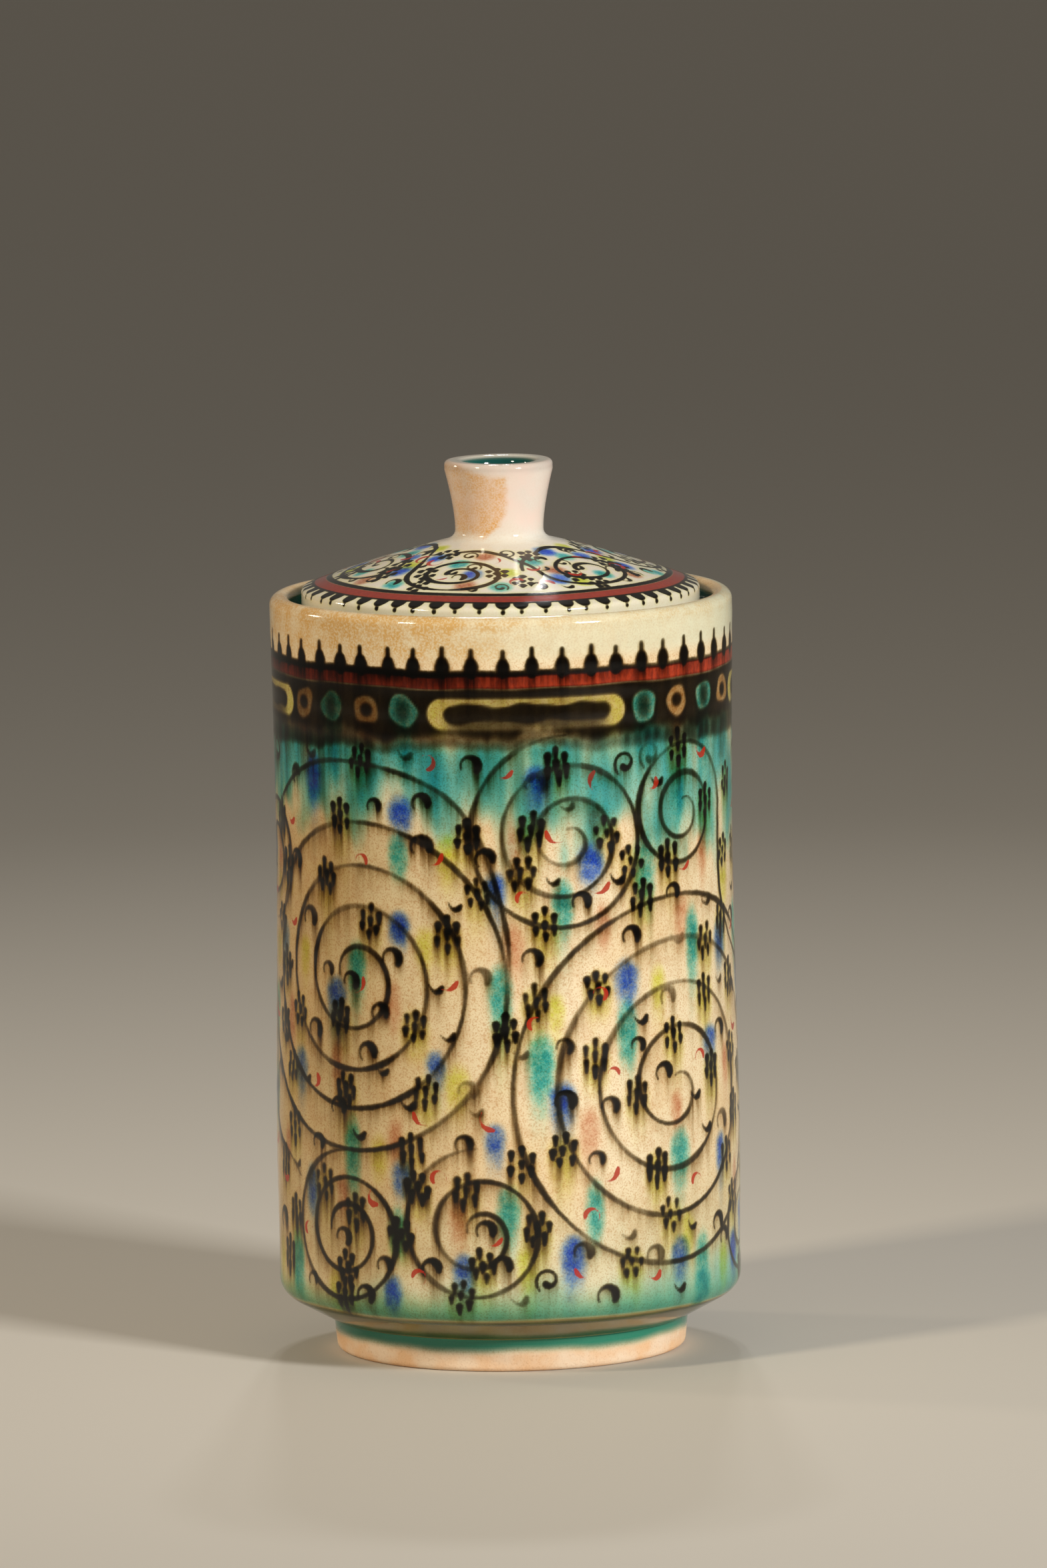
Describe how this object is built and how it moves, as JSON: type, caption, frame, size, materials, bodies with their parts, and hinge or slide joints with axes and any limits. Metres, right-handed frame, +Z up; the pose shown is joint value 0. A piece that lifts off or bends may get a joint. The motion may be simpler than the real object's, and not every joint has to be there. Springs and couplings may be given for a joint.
{
  "type": "lidded jar",
  "caption": "Straight-sided glazed jar on a turned foot ring, with a loose domed lid that drops into a gallery inside the rim and is lifted by a hollow flared knob.",
  "frame": {"origin": "centre of the plane that the foot ring stands on", "axes": "+Z up along the jar's axis, towards the knob; -Y towards the painted front; +X to the right seen from the front"},
  "size_m": [0.1028, 0.1028, 0.197],
  "materials": {
    "body_glaze": "glossy, painted under a clear glaze; bare clay on the foot ring",
    "lid_glaze": "glossy, painted under a clear glaze"
  },
  "bodies": {
    "jar": {"jar_body": "body_glaze"},
    "lid": {"lid": "lid_glaze", "lid_knob": "lid_glaze"}
  },
  "joints": [
    {"name": "lid_lift", "type": "slide", "parent": "jar", "child": "lid", "axis": [0, 0, 1], "range_m": [0, 0.1]}
  ]
}
